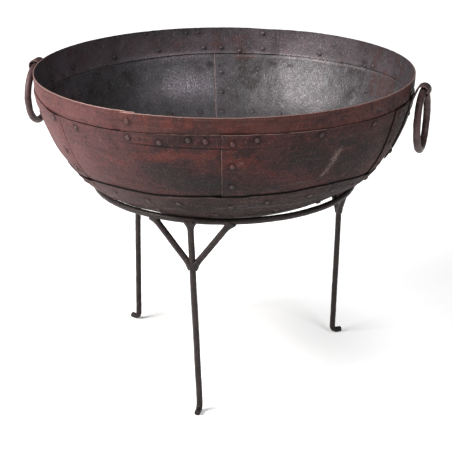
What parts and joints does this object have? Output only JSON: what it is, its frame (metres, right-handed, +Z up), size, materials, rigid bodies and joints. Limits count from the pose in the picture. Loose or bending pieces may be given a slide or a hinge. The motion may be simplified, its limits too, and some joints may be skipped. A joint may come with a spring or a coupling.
{
  "type": "fire bowl",
  "caption": "Wide riveted sheet-iron fire bowl with drop-ring handles, resting loose in a welded ring stand on bar legs with outturned feet.",
  "frame": {"origin": "on the floor, under the bowl's axis", "axes": "+Z up; -Y is the side the front leg stands on; +X to the right of it"},
  "size_m": [0.8562, 0.7994, 0.6695],
  "materials": {
    "plate_iron": "rusted sheet iron",
    "band_iron": "rusted sheet iron",
    "dish_iron": "rusted sheet iron",
    "rivet_iron": "rusted",
    "strap_iron": "rusted",
    "handle_iron": "rusted",
    "stand_iron": "dark oxidised bar"
  },
  "bodies": {
    "stand": {"brace_front_a": "stand_iron", "brace_front_b": "stand_iron", "brace_left_a": "stand_iron", "brace_left_b": "stand_iron", "brace_right_a": "stand_iron", "brace_right_b": "stand_iron", "leg_front": "stand_iron", "leg_left": "stand_iron", "leg_right": "stand_iron", "stand_ring": "stand_iron"},
    "bowl": {"band_front_lower_rivet": "rivet_iron", "band_front_upper_rivet": "rivet_iron", "band_rear_lower_rivet": "rivet_iron", "band_rear_upper_rivet": "rivet_iron", "bottom_dish": "dish_iron", "handle_strap_left": "strap_iron", "handle_strap_right": "strap_iron", "rim_band_front": "band_iron", "rim_band_rear": "band_iron", "seam_1_dish_rivet": "rivet_iron", "seam_1_lower_rivet": "rivet_iron", "seam_1_rim_rivet": "rivet_iron", "seam_1_upper_rivet": "rivet_iron", "seam_2_dish_rivet": "rivet_iron", "seam_2_lower_rivet": "rivet_iron", "seam_2_rim_rivet": "rivet_iron", "seam_2_upper_rivet": "rivet_iron", "seam_3_dish_rivet": "rivet_iron", "seam_3_lower_rivet": "rivet_iron", "seam_3_rim_rivet": "rivet_iron", "seam_3_upper_rivet": "rivet_iron", "seam_4_dish_rivet": "rivet_iron", "seam_4_lower_rivet": "rivet_iron", "seam_4_rim_rivet": "rivet_iron", "seam_4_upper_rivet": "rivet_iron", "seam_5_dish_rivet": "rivet_iron", "seam_5_lower_rivet": "rivet_iron", "seam_5_rim_rivet": "rivet_iron", "seam_5_upper_rivet": "rivet_iron", "seam_6_dish_rivet": "rivet_iron", "seam_6_lower_rivet": "rivet_iron", "seam_6_rim_rivet": "rivet_iron", "seam_6_upper_rivet": "rivet_iron", "strap_left_lower_rivet": "rivet_iron", "strap_left_upper_rivet": "rivet_iron", "strap_right_lower_rivet": "rivet_iron", "strap_right_upper_rivet": "rivet_iron", "wall_plate_1": "plate_iron", "wall_plate_2": "plate_iron", "wall_plate_3": "plate_iron", "wall_plate_4": "plate_iron", "wall_plate_5": "plate_iron", "wall_plate_6": "plate_iron"},
    "handle_left": {"ring_handle_left": "handle_iron"},
    "handle_right": {"ring_handle_right": "handle_iron"}
  },
  "joints": [
    {"name": "bowl_lift", "type": "slide", "parent": "stand", "child": "bowl", "axis": [0, 0, 1], "range_m": [0, 0.3]},
    {"name": "handle_left_swing", "type": "hinge", "parent": "bowl", "child": "handle_left", "pos_m": [-0.40801, 0.10173, 0.648], "axis": [0.2419, 0.9703, 0], "range_deg": [-18, 208]},
    {"name": "handle_right_swing", "type": "hinge", "parent": "bowl", "child": "handle_right", "pos_m": [0.39992, -0.12994, 0.648], "axis": [-0.309, -0.9511, 0], "range_deg": [-18, 208]}
  ]
}
